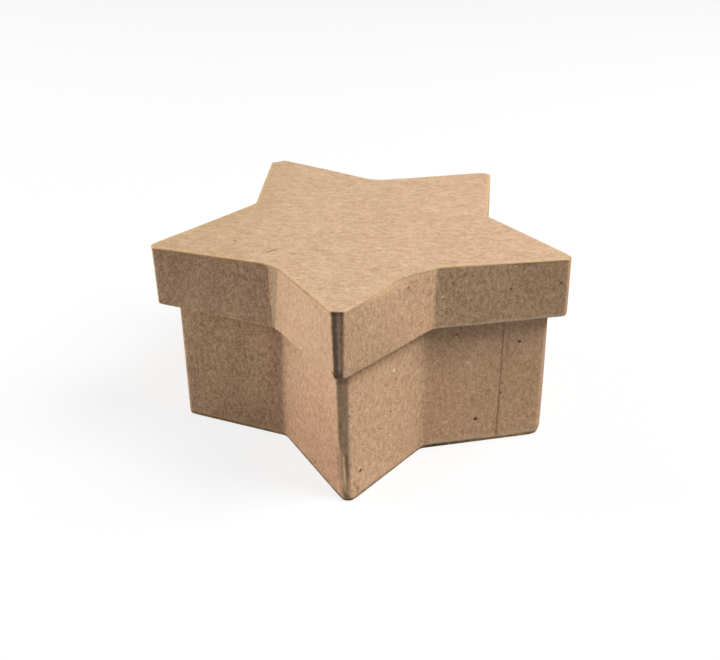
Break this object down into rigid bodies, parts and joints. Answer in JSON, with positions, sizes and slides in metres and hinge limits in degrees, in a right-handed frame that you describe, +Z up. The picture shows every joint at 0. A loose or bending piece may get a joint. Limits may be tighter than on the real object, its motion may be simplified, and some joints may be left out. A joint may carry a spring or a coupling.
{
  "type": "star-shaped gift box",
  "caption": "Plain brown board star box, hand folded, with a shallow lift-off lid over a deeper base, for small gifts or keepsakes.",
  "frame": {"origin": "middle of the star on the base's underside", "axes": "+Z up, the way the lid lifts; -Y towards the front tip of the star; +X to the right"},
  "size_m": [0.0994, 0.097, 0.049],
  "materials": {
    "brown_board": "matte, speckled, a little worn along the folds"
  },
  "bodies": {
    "base": {"base_floor_panel": "brown_board", "base_side_strip": "brown_board"},
    "lid": {"lid_side_strip": "brown_board", "lid_top_panel": "brown_board"}
  },
  "joints": [
    {"name": "lid_lift", "type": "slide", "parent": "base", "child": "lid", "axis": [0, 0, 1], "range_m": [0, 0.07]}
  ]
}
